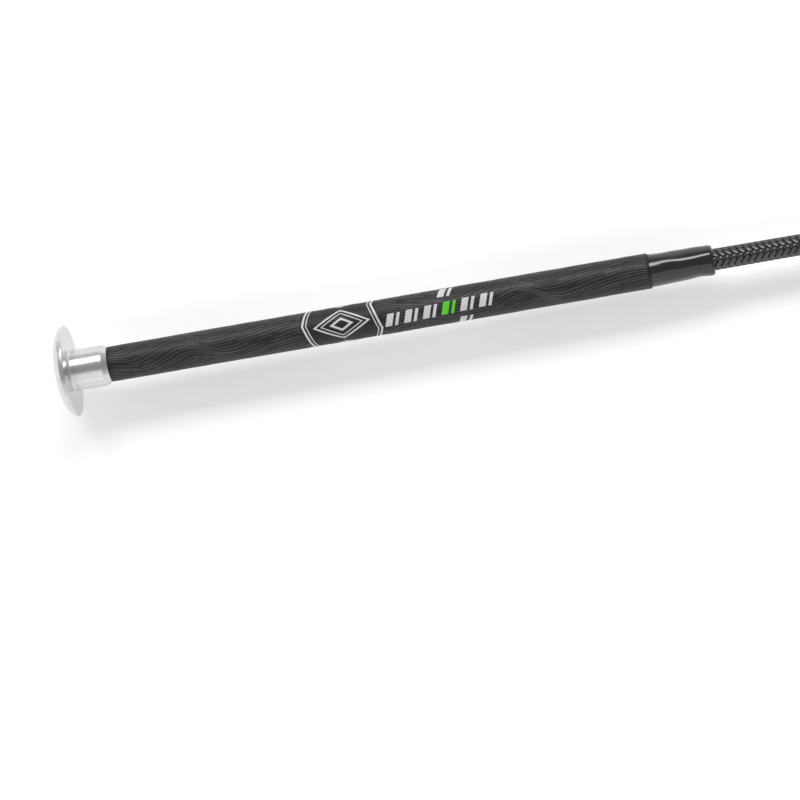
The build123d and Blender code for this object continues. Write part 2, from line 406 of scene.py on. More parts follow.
def finish(
    name,
    dark,
    light,
    roughness,
    grain,
    stretch=(1, 1, 1),
    relief=0.0,
    by_thread=False,
    tint=None,
    sockets=None,
):
    """A procedural finish.

    Colour runs from dark to light over a noise with the given grain size, stretched along an axis by a
    stretch below 1. Roughness varies between two values over a wider noise, and relief is the bump's depth.
    by_thread follows each strand instead of the object. tint is a second light colour for some strands.
    """
    material = bpy.data.materials.new(name)
    material.use_nodes = True
    shader = material.node_tree.nodes["Principled BSDF"]
    for key, value in (sockets or {}).items():
        shader.inputs[key].default_value = value
    if by_thread:
        source = node(material, "ShaderNodeAttribute", attribute_name="thread").outputs["Vector"]
    else:
        source = node(material, "ShaderNodeTexCoord").outputs["Object"]
    scale = [share / grain for share in stretch]
    stretched = node(material, "ShaderNodeMapping", {"Vector": source, "Scale": scale}).outputs["Vector"]
    fine = node(material, "ShaderNodeTexNoise", {"Vector": stretched, "Scale": 1.0, "Detail": 3.0})
    colour = ramp(material, fine.outputs["Fac"], ((0.3, dark), (0.7, light)))
    if tint:
        parts = node(material, "ShaderNodeSeparateXYZ", {"Vector": source})
        pick = ramp(material, parts.outputs["Z"], ((0.55, (0, 0, 0)), (0.75, (1, 1, 1))))
        other = ramp(material, fine.outputs["Fac"], ((0.3, dark), (0.7, tint)))
        mix = node(material, "ShaderNodeMix", data_type="RGBA")
        material.node_tree.links.new(pick, mix.inputs["Factor"])
        material.node_tree.links.new(colour, mix.inputs["A"])
        material.node_tree.links.new(other, mix.inputs["B"])
        colour = mix.outputs["Result"]
    material.node_tree.links.new(colour, shader.inputs["Base Color"])
    wide = node(material, "ShaderNodeTexNoise", {"Vector": source, "Scale": 0.12 / grain, "Detail": 2.0})
    rough = node(
        material,
        "ShaderNodeMapRange",
        {"Value": wide.outputs["Fac"], "From Min": 0.3, "From Max": 0.7}
        | {"To Min": roughness[0], "To Max": roughness[1]},
    )
    material.node_tree.links.new(rough.outputs["Result"], shader.inputs["Roughness"])
    if relief:
        bump = node(
            material,
            "ShaderNodeBump",
            {"Height": fine.outputs["Fac"], "Distance": relief, "Strength": 0.6},
        )
        material.node_tree.links.new(bump.outputs["Normal"], shader.inputs["Normal"])
    return material


# Turned metal: the thread attribute of a lathed piece is (station, radius, bearing), so a grain that is long
# in the bearing makes tool marks that run round the cap.
CAP_METAL = finish(
    "cap_metal",
    (0.61, 0.61, 0.605),
    (0.71, 0.71, 0.7),
    (0.22, 0.31),
    0.00018,
    stretch=(1, 1, 0.00012),
    relief=0.000012,
    by_thread=True,
    sockets={"Metallic": 1.0},
)
GRIP_SKIN = finish(
    "grip_skin",
    (0.0085, 0.0073, 0.0073),
    (0.0145, 0.0125, 0.0125),
    (0.46, 0.58),
    0.0004,
    relief=0.00002,
    sockets={"Specular IOR Level": 0.38},
)
GRIP_LINE = finish(
    "grip_line", (0.052, 0.047, 0.045), (0.105, 0.097, 0.093), (0.34, 0.44), 0.0012, relief=0.00001
)
PRINT_SILVER = finish(
    "print_silver", (0.56, 0.56, 0.57), (0.68, 0.68, 0.69), (0.36, 0.46), 0.0006, relief=0.000005
)
PRINT_LIME = finish(
    "print_lime", (0.085, 0.5, 0.016), (0.12, 0.62, 0.03), (0.36, 0.46), 0.0006, relief=0.000005
)
COLLAR_GLOSS = finish(
    "collar_gloss",
    (0.009, 0.0065, 0.006),
    (0.016, 0.0125, 0.0115),
    (0.12, 0.2),
    0.0021,
    relief=0.00004,
    sockets={"Coat Weight": 0.35, "Coat Roughness": 0.05},
)


def nylon(name, dark, light, roughness, specular):
    """Glossy nylon yarn whose filaments run along its strands."""
    return finish(
        name,
        dark,
        light,
        roughness,
        0.00014,
        stretch=(0.03, 1, 40),
        relief=0.00005,
        by_thread=True,
        sockets={"IOR": 1.6, "Specular IOR Level": specular, "Sheen Weight": 0.1, "Sheen Roughness": 0.4},
    )


SHAFT_NYLON = nylon("shaft_nylon", (0.003, 0.003, 0.0032), (0.012, 0.012, 0.0126), (0.22, 0.33), 0.7)
# Painted light: the keeper and tail use the same nylon yarn as the shaft, coloured lighter to stand in for
# the brighter light that falls on the tip.
LIGHTER_PAINTED_TIP_NYLON = nylon("tip_nylon_painted_lighter", (0.013, 0.013, 0.0136), (0.078, 0.078, 0.081), (0.32, 0.46), 1.0)
LINER = finish("braid_liner", (0.004, 0.004, 0.004), (0.009, 0.009, 0.009), (0.7, 0.85), 0.0004)
LASH_YARN = finish(
    "lash_yarn",
    (0.024, 0.0205, 0.019),
    (0.085, 0.074, 0.07),
    (0.68, 0.82),
    0.00009,
    stretch=(0.06, 1, 60),
    relief=0.00006,
    by_thread=True,
    sockets={"Sheen Weight": 0.25, "Sheen Roughness": 0.5},
)
FIBRE = finish(
    "loose_fibre",
    (0.03, 0.026, 0.025),
    (0.1, 0.088, 0.085),
    (0.5, 0.68),
    0.0001,
    stretch=(0.05, 1, 50),
    by_thread=True,
    tint=(0.34, 0.235, 0.24),
    sockets={"Sheen Weight": 0.2},
)
FILLER_YARN = finish(
    "filler_yarn", (0.36, 0.34, 0.3), (0.56, 0.54, 0.49), (0.75, 0.9), 0.0002, (0.02, 1, 1), 0.00005
)
GLASS_ROD = finish("glass_rod", (0.62, 0.62, 0.5), (0.78, 0.78, 0.68), (0.2, 0.32), 0.0003, (0.01, 1, 1))
PLUG_WOOD = finish(
    "plug_wood", (0.42, 0.28, 0.15), (0.7, 0.54, 0.35), (0.6, 0.75), 0.0006, (0.06, 1, 1), 0.00004
)
TUBE_RESIN = finish("tube_resin", (0.06, 0.06, 0.066), (0.11, 0.11, 0.12), (0.45, 0.6), 0.0005, (0.1, 1, 1))
BUSH_PLASTIC = finish("bush_plastic", (0.12, 0.12, 0.128), (0.17, 0.17, 0.18), (0.45, 0.58), 0.0005)
THREAD = finish(
    "wound_thread", (0.02, 0.02, 0.02), (0.07, 0.07, 0.07), (0.6, 0.75), 0.00025, (1, 0.1, 0.1), 0.00006
)

for node_name, material in {
    "cap_plug": PLUG_WOOD,
    "handle_tube": TUBE_RESIN,
    "rod_butt_bush": BUSH_PLASTIC,
    "rod_front_bush": BUSH_PLASTIC,
    "braid_binding": THREAD,
    "keeper_padding": FILLER_YARN,
    "tip_cap": CAP_METAL,
}.items():
    inner = frame["nodes"][node_name]
    inner.data.materials.clear()
    inner.data.materials.append(material)

# ---- lash: free cord, and the hitch that is its other end ----------------------------------------
LASH_RADIUS = 0.00142
LASH_EXIT = beside(0.0106, -0.0034, LASH_RADIUS)
LASH_ROUTE = [
    LASH_EXIT,
    beside(0.0186, -0.00215, LASH_RADIUS),
    beside(0.0310, -0.0004, LASH_RADIUS),
    beside(0.0500, 0.0017, LASH_RADIUS),
    beside(0.0700, 0.0040, LASH_RADIUS),
    beside(0.0900, 0.0047, LASH_RADIUS),
    beside(0.1100, 0.0068, LASH_RADIUS),
    beside(0.1290, 0.0101, LASH_RADIUS),
]
HITCH_ROUTE = [
    beside(0.0030, 0.0044, 0.0060),
    beside(0.0024, 0.0013, 0.0070),
    beside(0.0022, -0.0020, 0.0066),
    beside(0.0030, -0.0045, 0.0042),
    beside(0.0048, -0.0051, 0.0016),
    beside(0.0078, -0.0038, 0.0015),
    LASH_EXIT,
]
LASH_END_RADIUS = 0.00125
HITCH_RADIUS = 0.00155
LASH_LEAD = 0.0062
LASH_STRANDS_EACH_WAY = 8
LASH_STRAND = 0.00022
LASH_SIDES = 16
LASH_STEP = 0.0008
LASH_CORE_DEPTH = 1.6  # strand thicknesses from the outside of the cord to its core
LASH_UNEVEN = 0.00016  # how much thinner the handled cord is in places
LASH_UNEVEN_GRAIN = 130  # how quickly that changes, per metre
STUB_ROUND = 0.0012  # length over which the hitch's stub is rounded
STUB_END = 0.12  # share of the hitch's section that is left at the stub's end

lash_line_points = smooth_line(LASH_ROUTE)
lash_line = Line(lash_line_points, Vector((0, 0, 1)))


def cord_braid(build, line, radius):
    """The lash's fine round braid over a dark core."""
    count = max(12, round(line.length / LASH_STEP))
    station = np.linspace(0, line.length, count)
    bearings = np.linspace(0, tau, LASH_SIDES, endpoint=False)
    core = radius(station) - LASH_CORE_DEPTH * LASH_STRAND
    around = np.broadcast_to(bearings[None, :], (count, LASH_SIDES))
    along = np.broadcast_to(station[:, None], around.shape)
    build.shell(line.place(along, np.broadcast_to(core[:, None], around.shape), around), slot=1)
    braid(
        build,
        line,
        0,
        line.length,
        radius,
        (LASH_LEAD, LASH_LEAD),
        LASH_STRANDS_EACH_WAY,
        LASH_STRAND,
        per_turn=24,
        fill=0.98,
    )


def lash_radius(station):
    """The lash thins a little towards its tassel."""
    share = np.clip(station / lash_line.length, 0, 1)
    uneven = [LASH_UNEVEN * noise.noise(Vector((s * LASH_UNEVEN_GRAIN, 0, 5))) for s in station]
    return LASH_RADIUS + (LASH_END_RADIUS - LASH_RADIUS) * share - np.abs(uneven)


def hitch_radius(station):
    """The hitch, from the lash to its rounded stub."""
    left_over = np.clip((hitch_line.length - station) / STUB_ROUND, 0, 1)
    return HITCH_RADIUS * np.sqrt(np.clip(1 - (1 - left_over) ** 2, STUB_END, 1))


lash_build = Build()
cord_braid(lash_build, lash_line, lash_radius)
lash = lash_build.piece("lash", [LASH_YARN, LINER])
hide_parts("lash_cord")

hitch_line = Line(list(reversed(smooth_line(HITCH_ROUTE))), Vector((0, 0, 1)))
hitch_build = Build()
cord_braid(hitch_build, hitch_line, hitch_radius)
hitch = hitch_build.piece("hitch", [LASH_YARN, LINER])
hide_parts("lash_hitch")
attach(hitch, "tip")

# ---- tassel: the lash's unravelled end -----------------------------------------------------------
# Each bundle has the bearings of its first and last parts, a length, a number of fibres, how far they spread
# to the sides and in length at their ends, a fibre radius, a wave height and the share of light fibres.
FRAY = Vector(LASH_ROUTE[-1])
BUNDLES = (
    (36, 50, 0.0176, 46, 0.0008, 0.02, 0.000085, 0.0001, 0.0),
    (36, 32, 0.0168, 44, 0.0009, 0.12, 0.00008, 0.0003, 0.0),
    (34, 18, 0.0150, 20, 0.0012, 0.1, 0.00005, 0.0006, 0.9),
    (31, 8, 0.0160, 90, 0.0018, 0.04, 0.00008, 0.0003, 0.35),
    (14, 1, 0.0154, 34, 0.0010, 0.09, 0.00006, 0.0005, 0.8),
    (4, -5, 0.0168, 36, 0.0009, 0.08, 0.00007, 0.0004, 0.4),
    (-4, -14, 0.0160, 26, 0.0011, 0.1, 0.00005, 0.0006, 0.9),
    (-16, -41, 0.0150, 60, 0.0009, 0.02, 0.0001, 0.0003, 0.0),
    (-35, -46, 0.0066, 8, 0.0010, 0.25, 0.00005, 0.0003, 0.5),
)
FIBRE_STEPS = 16
FIBRE_SIDES = 5
FRAY_LAP = 0.0014  # the fibres begin this far inside the lash
LASH_BEARING = radians(9.7)
TURN_OUT = 0.12  # share of a fibre by which it has turned to its first bearing
SETTLED = 0.7  # share of a fibre by which it has turned to its last bearing
OPENING = 1.2  # power of a bundle's opening along its length
FRAY_PACKING = 0.92  # share of the lash's end radius that the fibres fill
FIBRE_LIFT = 0.00012  # least gap between a fibre and the surface
HEAVY_TAG = 0.3  # thread tags up to here are dark, and over 0.75 they are light
LIGHT_TAG = 0.9


def fibre_points(bearings, length, aside_share, upward, spread, radius, wave):
    """Points of one fibre, which leaves along the lash and turns to its bundle's bearings."""
    phase = chance.uniform(0, tau)
    first, last = [radians(bearing) for bearing in bearings]
    centre = FRAY - Vector((cos(LASH_BEARING), sin(LASH_BEARING), 0)) * FRAY_LAP
    points = []
    for step in range(FIBRE_STEPS + 1):
        share = step / FIBRE_STEPS
        heading = float(np.interp(share, (0, TURN_OUT, SETTLED), (LASH_BEARING, first, last)))
        aside = Vector((-sin(heading), cos(heading), 0))
        opening = share**OPENING
        close = (1 - opening) * LASH_END_RADIUS * FRAY_PACKING
        side = aside_share * (close + opening * spread) + wave * share * sin(phase + 8 * share)
        point = centre + aside * side
        height = FRAY.z + upward * (close + opening * spread / 2)
        point.z = max(height, radius + FIBRE_LIFT)
        points.append(point)
        centre = centre + Vector((cos(heading), sin(heading), 0)) * length / FIBRE_STEPS
    return points


def tassel_piece():
    """Fibres that leave the lash together, spread in their bundles and lie down on the surface."""
    build = Build()
    turn = np.linspace(0, tau, FIBRE_SIDES, endpoint=False)
    around = np.broadcast_to(turn[None, :], (FIBRE_STEPS + 1, FIBRE_SIDES))
    for *bearings, length, count, spread, scatter, radius, wave, light in BUNDLES:
        for _ in range(count):
            angle = chance.uniform(0, tau)
            reach = chance.random() ** 0.5
            points = fibre_points(
                bearings,
                length * (1 - scatter * chance.random()) + FRAY_LAP,
                cos(angle) * reach,
                sin(angle) * reach,
                spread,
                radius,
                wave * chance.uniform(0.3, 1.0),
            )
            line = Line(points, Vector((0, 0, 1)))
            station = np.linspace(0, line.length, FIBRE_STEPS + 1)
            along = np.broadcast_to(station[:, None], around.shape)
            rings = line.place(along, np.full(around.shape, radius), around)
            tag = np.full(around.shape, LIGHT_TAG if chance.random() < light else HEAVY_TAG)
            build.shell(rings, np.stack([along, np.sin(around) * radius, tag], axis=-1))
    return build.piece("tassel_fibres", [FIBRE])


tassel = tassel_piece()
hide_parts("tassel")
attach(tassel, "tassel")

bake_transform(lash)

# ---- end cap -------------------------------------------------------------------------------------
CAP_DEPTH = 0.0048  # crown to the plane of the rim
CAP_FULLNESS = 4.5  # power of the dome's profile
RIM_ROUND = 0.0006
NECK_FILLET = 0.0009
NECK_CHAMFER = 0.0021
NECK_START = 0.0016  # from the flat back to the first ring of the straight neck
AXIS_GAP = 0.0001  # radius at which the cap's front face is closed


def cap_profile():
    """Station and radius from the crown over the rim and the flat back to the neck's end."""
    points = []
    for share in np.linspace(0.004, 0.96, 40):
        points.append(((CAP_DEPTH - RIM_ROUND) * share**CAP_FULLNESS, cap_radius * share))
    for angle in np.linspace(-pi / 2, pi / 2, 9):
        rim = (CAP_DEPTH + RIM_ROUND * sin(angle), cap_radius - RIM_ROUND * (1 - cos(angle)))
        points.append(rim)
    face = CAP_DEPTH + RIM_ROUND
    back_start, back_end = neck_radius + NECK_FILLET, cap_radius - RIM_ROUND
    for share in np.linspace(0.97, 0, 18):
        points.append((face, back_start + (back_end - back_start) * share))
    for angle in np.linspace(0, pi / 2, 7):
        station = face + NECK_FILLET * (1 - cos(angle))
        points.append((station, neck_radius + NECK_FILLET * (1 - sin(angle))))
    for station in even(face + NECK_START, cap_end - NECK_CHAMFER, 0.001):
        points.append((station, neck_radius))
    points.append((cap_end, grip_radius))
    points.append((cap_end, AXIS_GAP))
    return points


cap_build = Build()
lathe(cap_build, cap_profile(), sides=160)
cap = cap_build.piece("cap", [CAP_METAL], sharp_degrees=20)
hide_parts("end_cap")
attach(cap, "handle")

# ---- grip: sleeve, raised wave lines and a generic printed band ----------------------------------
GRIP_EDGE = 0.0004
GRIP_FRONT_EDGE = 0.0009
GRIP_BORE_GAP = 0.00003
LINE_COUNT = 38
LINE_STEP = 0.0009
LINE_WIDTH = 0.0003
LINE_HEIGHT = 0.00006
LINE_SINK = 0.000012
LINE_FADE = 0.0012  # length over which a line rises at its ends
LINE_MARGIN = 0.001  # between the lines and the grip's ends
LINE_STRENGTH = 0.75  # a line's height before noise, as a share of LINE_HEIGHT
LINE_CONTRAST = 3.2  # how much the noise changes that share
LINE_GRAIN = 55  # how quickly the noise changes, per metre
# A line's cross-section: places across its half width, and heights as shares of its height.
LINE_SECTION = np.array([(-1, -0.25), (-0.45, 1.0), (0.45, 1.0), (1, -0.25), (0, -1.2)])
# Height, wavelength, phase and turns round the grip of each wave that the lines follow.
WAVES = ((0.0023, 0.043, 0.1, 1), (0.0007, 0.026, 0.35, 2))
BAND_START = 0.1000
BAND_END = 0.1245
BAND_REPEATS = 3  # the band's pattern comes this many times round the grip
BAND_POINT = 0.0033  # how far the band's zigzag borders point outwards
BORDER_POINTS = 2  # how many points each border has round the grip
BORDER_BEARINGS = {-1: radians(12), 1: radians(-35)}  # where the first and last borders have a point
PRINT_LIFT = 0.0001
PRINT_ROOT = 0.00012
BORDER_GAP = 0.0006  # between the band's border and the wave lines
BORDER_LINES = ((0.0, 0.0008), (0.0016, 0.0004))  # inset and width of each border's printed lines
DIAMOND_LENGTH = 0.0112  # from the middle of the band's diamonds to their points
DIAMOND_HEIGHT = 0.0062
DIAMONDS = ((1.0, 0.0007), (0.74, 0.0004), (0.42, 0.0009))  # size and line width of the nested diamonds

grip_build = Build()
edge = np.linspace(0, pi / 2, 6)
outside = [(grip_start + GRIP_EDGE * (1 - cos(a)), grip_radius - GRIP_EDGE * (1 - sin(a))) for a in edge]
outside += [(s, grip_radius) for s in even(grip_start + 0.002, grip_end - 0.002, 0.003)]
for a in edge:
    outside.append((grip_end - GRIP_FRONT_EDGE * (1 - sin(a)), grip_radius - GRIP_FRONT_EDGE * (1 - cos(a))))
inside = [(grip_end, tube_radius + GRIP_BORE_GAP), (grip_start, tube_radius + GRIP_BORE_GAP)]
lathe(grip_build, outside + inside, sides=160, looped=True)


def border(bearing, outwards):
    """Station of the band's border on a bearing: the zigzag of its first or last edge."""
    turned = (bearing - BORDER_BEARINGS[outwards]) * BORDER_POINTS / tau
    share = abs((turned + 0.5) % 1 - 0.5) * 2
    point = BAND_POINT * (1 - share)
    return BAND_START - point if outwards < 0 else BAND_END + point


def wave_bearing(station, bearing):
    """Bearing of a wave line that would be straight at the given bearing."""
    offset = 0.0
    for height, wavelength, phase, turns in WAVES:
        offset += height * sin(tau * (station / wavelength + phase) + turns * bearing)
    return bearing + offset / grip_radius


def wave_line(build, bearing, first, last, tag):
    """One raised line, which fades where its noise is low."""
    station = even(first, last, LINE_STEP)
    path = np.array([wave_bearing(s, bearing) for s in station])
    strength = np.array([noise.noise(Vector((s * LINE_GRAIN, 3.1 * bearing, tag))) for s in station])
    ends = np.clip(np.minimum(station - first, last - station) / LINE_FADE, 0, 1)
    height = LINE_HEIGHT * np.clip(LINE_STRENGTH + LINE_CONTRAST * strength, -0.3, 1.3) * ends
    across = LINE_SECTION[:, 0] * LINE_WIDTH / 2
    radii = grip_radius + height[:, None] * LINE_SECTION[None, :, 1] - LINE_SINK
    bearings = path[:, None] + across[None, :] / grip_radius
    along = np.broadcast_to(station[:, None], bearings.shape)
    build.shell(WHIP.place(along, radii, bearings), slot=1)


for index in range(LINE_COUNT):
    line_bearing = tau * index / LINE_COUNT + chance.uniform(-0.03, 0.03)
    band_first = border(wave_bearing(BAND_START, line_bearing), -1)
    band_last = border(wave_bearing(BAND_END, line_bearing), 1)
    wave_line(grip_build, line_bearing, grip_start + LINE_MARGIN, band_first - BORDER_GAP, index)
    wave_line(grip_build, line_bearing, band_last + BORDER_GAP, grip_end - LINE_MARGIN, index + 0.5)


PRINT_STEPS = 9


def printed(build, corners, slot):
    """A raised patch of ink between four corners, each a station and an arc length round the grip."""
    low, high = grip_radius - PRINT_ROOT, grip_radius + PRINT_LIFT
    (a, b, c, d) = [np.array(corner) for corner in corners]
    rings = []
    for share in np.linspace(0, 1, PRINT_STEPS):
        left, right = a + (d - a) * share, b + (c - b) * share
        place = np.array([left, right, right, left])
        radii = np.array([high, high, low, low])
        rings.append(WHIP.place(place[:, 0], radii, place[:, 1] / grip_radius))
    build.shell(rings, slot=slot)


def border_print(build, outwards, inset, width):
    """A printed line that follows one of the band's borders right round, inset from it."""
    low, high = grip_radius - PRINT_ROOT, grip_radius + PRINT_LIFT
    rings = []
    for bearing in np.linspace(0, tau, 180, endpoint=False):
        outer = border(bearing, outwards) - outwards * inset
        inner = outer - outwards * width
        place = np.array([outer, inner, inner, outer])
        rings.append(WHIP.place(place, np.array([high, high, low, low]), np.full(4, bearing)))
    build.shell(rings, slot=2, looped=True)


def diamond(build, station, arc, half_length, half_height, line_width):
    """The outline of a diamond."""
    tips = [(half_length, 0), (0, half_height), (-half_length, 0), (0, -half_height)]
    inner = 1 - line_width / min(half_length, half_height)
    for (x, y), (u, v) in zip(tips, tips[1:] + tips[:1]):
        printed(
            build,
            (
                (station + x, arc + y),
                (station + x * inner, arc + y * inner),
                (station + u * inner, arc + v * inner),
                (station + u, arc + v),
            ),
            2,
        )


for outwards in (-1, 1):
    for inset, width in BORDER_LINES:
        border_print(grip_build, outwards, inset, width)

band_middle = (BAND_START + BAND_END) / 2
for repeat in range(BAND_REPEATS):
    arc = grip_radius * tau * repeat / BAND_REPEATS
    for size, line_width in DIAMONDS:
        diamond(grip_build, band_middle, arc, DIAMOND_LENGTH * size, DIAMOND_HEIGHT * size, line_width)

BAR_PITCH = 0.0073
BAR_HEIGHT = 0.0049
BAR_SLANT = 0.0016
BAR_START = 0.1286
BAR_ROW_BEARING = radians(-14)
BAR_ROW_TURN = radians(2.6)  # from one pair of bars to the next
BAR_PAIRS = 6
LIME_BAR = 3
BARS = ((0.0, 0.0026), (0.0037, 0.0012))  # start and width of the two bars of a pair
SINGLE_PLACE = 2.9  # where the first single pair stands, counted in pairs along the row
SINGLE_SHIFT = 0.43  # how much further along the next one stands


def bar_pair(build, first, arc, slot):
    """A broad and a narrow slanted bar side by side."""
    low, high = arc - BAR_HEIGHT / 2, arc + BAR_HEIGHT / 2
    for offset, width in BARS:
        left = first + offset
        right = left + width
        printed(build, ((left, low), (right, low), (right + BAR_SLANT, high), (left + BAR_SLANT, high)), slot)


# Rows of pairs run along the grip, with a single pair half way round to the next row.
for repeat in range(BAND_REPEATS):
    row = tau * repeat / BAND_REPEATS + BAR_ROW_BEARING
    for index in range(BAR_PAIRS):
        arc = grip_radius * (row + BAR_ROW_TURN * index)
        bar_pair(grip_build, BAR_START + BAR_PITCH * index, arc, 3 if index == LIME_BAR else 2)
    arc = grip_radius * (row + BAR_ROW_TURN * LIME_BAR + pi / BAND_REPEATS)
    bar_pair(grip_build, BAR_START + BAR_PITCH * (SINGLE_PLACE + SINGLE_SHIFT * repeat), arc, 2)

grip = grip_build.piece("grip", [GRIP_SKIN, GRIP_LINE, PRINT_SILVER, PRINT_LIME], sharp_degrees=35)
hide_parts("grip_sleeve")
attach(grip, "handle")

# ---- collar: a glossy shrink sleeve --------------------------------------------------------------
COLLAR_WALL = 0.001
COLLAR_FRONT_WALL = 0.00105
COLLAR_LIP = 0.0026
COLLAR_RIPPLE = 0.00022
COLLAR_RIPPLE_GRAIN = 150  # how quickly the ripples change, per metre
COLLAR_DENT = 0.00055
DENT_SETBACK = 0.0035  # from the dent to the lip
DENT_REACH = 0.0034
COLLAR_SAG = 0.0001  # how far the collar's side is drawn in between its ends
COLLAR_SLOPE = 1.2  # power of the slope from the grip to the lip
LIP_START = 0.2  # angle at which the rounded lip begins
LIP_DROP = 0.0009
LIP_BULGE = 0.00016
COLLAR_GAP = 0.0001  # between the collar's end and the braid
COLLAR_TUCK = 0.004  # how far back from the end the inside lies close to the braid
TUCK_GAP = 0.00003
waist = collar_end - COLLAR_LIP


def collar_wobble(station, bearing):
    """Soft ripples where the sleeve shrank unevenly, and a dent on its right before the lip."""
    place = Vector((station * COLLAR_RIPPLE_GRAIN, 1.3 * cos(bearing), 1.3 * sin(bearing)))
    ripple = COLLAR_RIPPLE * noise.noise(place)
    dip = np.exp(-(((station - waist + DENT_SETBACK) / DENT_REACH) ** 2)) * max(0.0, -sin(bearing)) ** 2
    return ripple - COLLAR_DENT * dip


def collar_profile():
    """Outside of the collar from the grip to its rounded lip, then back along its inside."""
    points = [(grip_end, tube_radius + 2 * COLLAR_GAP)]
    first, last = tube_radius + COLLAR_WALL, binding_radius + COLLAR_FRONT_WALL
    for share in np.linspace(0, 1, 44):
        slope = (last - first) * share**COLLAR_SLOPE - COLLAR_SAG * sin(pi * share)
        points.append((grip_end + (waist - grip_end) * share, first + slope))
    for angle in np.linspace(LIP_START, pi / 2, 9):
        drop = LIP_DROP * (1 - cos(angle)) - LIP_BULGE * sin(2 * angle)
        points.append((waist + COLLAR_LIP * sin(angle), last - drop))
    points.append((collar_end, shaft_radius(collar_end) + COLLAR_GAP))
    points.append((collar_end - COLLAR_TUCK, shaft_radius(collar_end) + TUCK_GAP))
    return points


collar_build = Build()
lathe(collar_build, collar_profile(), sides=160, looped=True, wobble=collar_wobble)
collar = collar_build.piece("collar", [COLLAR_GLOSS], sharp_degrees=60)
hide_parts("collar_sleeve")
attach(collar, "handle")

# ---- shaft: braid over filler yarns over the rod ------
STRANDS_EACH_WAY = 6
STRAND_THICKNESS = 0.0005
COLUMN_EDGE = radians(4)
COLUMN_FLATNESS = 0.6
SHAFT_LEADS = (0.0155, 0.0123)
STRAND_FILL = 0.88  # how much of its share of the braid's round each strand fills
KEEPER_LAP = 0.010  # how far the shaft braid runs on inside the keeper
FILLER_SLACK = 0.0003  # gap between the filler and the braid at the filler's thick end


def blended(piece, node_name):
    """Makes a shaft piece stand for its CAD node: hides the node and bakes the piece's transform into its
    mesh.
    """
    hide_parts(node_name)
    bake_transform(piece)


shaft_build = Build()
shaft_first = tube_end + 0.0002
shaft_last = keeper_start + KEEPER_LAP
braid(
    shaft_build,
    WHIP,
    shaft_first,
    shaft_last,
    shaft_radius,
    SHAFT_LEADS,
    STRANDS_EACH_WAY,
    STRAND_THICKNESS,
    per_turn=36,
    column=COLUMN_EDGE,
    fill=STRAND_FILL,
    flatness=COLUMN_FLATNESS,
)
liner_depth = LINER_DEPTH * STRAND_THICKNESS
liner = [(s, shaft_radius(s) - liner_depth) for s in even(shaft_first, braid_end, 0.008)]
lathe(shaft_build, liner, sides=24, slot=1)
blended(shaft_build.piece("shaft_cover", [SHAFT_NYLON, LINER]), "shaft_braid")

rod_build = Build()
rod_profile = [(s, rod_radius) for s in even(rod_start, tube_end, 0.01)]
for s in even(tube_end, rod_end, 0.01)[1:]:
    share = (s - tube_end) / (rod_end - tube_end)
    rod_profile.append((s, rod_radius + (ROD_TIP_RADIUS - rod_radius) * share))
lathe(rod_build, rod_profile, sides=32)
blended(rod_build.piece("rod", [GLASS_ROD], sharp_degrees=40), "core_rod")

filler_build = Build()
filler_profile = []
thick_end = filler_radius - FILLER_SLACK
for s in even(tube_end, filler_end, 0.01):
    share = (s - tube_end) / (filler_end - tube_end)
    filler_profile.append((s, thick_end + (FILLER_TIP_RADIUS - thick_end) * share))
lathe(filler_build, filler_profile, sides=32)
blended(filler_build.piece("filler", [FILLER_YARN], sharp_degrees=40), "shaft_filler")

# ---- keeper: a second braid over the tip, with a padded belly ------------------------------------
KEEPER_STEP = 0.00055
KEEPER_SHOULDER = 0.00338
KEEPER_BELLY = 0.0038
KEEPER_MOUTH = 0.00265
KEEPER_CLOSED = 0.00185
KEEPER_LEAD = 0.0132
KEEPER_LEAD_SHRINK = 0.94  # the lead at the mouth, as a share
KEEPER_STRAND = 0.00075
KEEPER_OVERRUN = 0.0034
KEEPER_COLUMN = radians(24)
KEEPER_LOOSE = 0.00006
MOUTH_LOOSE = 0.0003  # how much looser the strands are at the mouth
LOOSE_REACH = 0.012  # from where they begin to loosen to the mouth
STRAND_SHARE = 0.24  # largest thickness of a strand, as a share of the keeper's radius
# Stations of the keeper's shape, most of them counted back from its mouth, and its radius at each.
keeper_shape = (
    (keeper_start, shaft_radius(keeper_start) + KEEPER_STEP),
    (mouth - 0.048, KEEPER_SHOULDER),
    (mouth - 0.034, KEEPER_SHOULDER + 0.00034),
    (mouth - 0.024, KEEPER_BELLY),
    (mouth - 0.012, KEEPER_BELLY - 0.00035),
    (mouth, KEEPER_MOUTH),
    (mouth + KEEPER_OVERRUN, KEEPER_CLOSED),
)


def keeper_radius(station):
    """Outside of the keeper, through its shape's points."""
    return np.interp(station, [s for s, _ in keeper_shape], [r for _, r in keeper_shape])


def keeper_looseness(station):
    """The strands work loose towards the mouth."""
    return KEEPER_LOOSE + MOUTH_LOOSE * np.clip((station - mouth) / LOOSE_REACH + 1, 0, 1)


keeper_build = Build()
braid(
    keeper_build,
    WHIP,
    keeper_start,
    mouth + KEEPER_OVERRUN,
    keeper_radius,
    (KEEPER_LEAD, KEEPER_LEAD * KEEPER_LEAD_SHRINK),
    STRANDS_EACH_WAY,
    lambda station: np.minimum(KEEPER_STRAND, STRAND_SHARE * keeper_radius(station)),
    per_turn=32,
    column=KEEPER_COLUMN,
    looseness=keeper_looseness,
)
keeper_liner = []
for s in even(keeper_start + LOOSE_REACH, mouth, 0.003):
    keeper_liner.append((s, keeper_radius(s) - LINER_DEPTH * KEEPER_STRAND))
lathe(keeper_build, keeper_liner, sides=32, slot=1)
keeper = keeper_build.piece("keeper", [LIGHTER_PAINTED_TIP_NYLON, LINER])
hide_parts("keeper_braid")
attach(keeper, "tip")

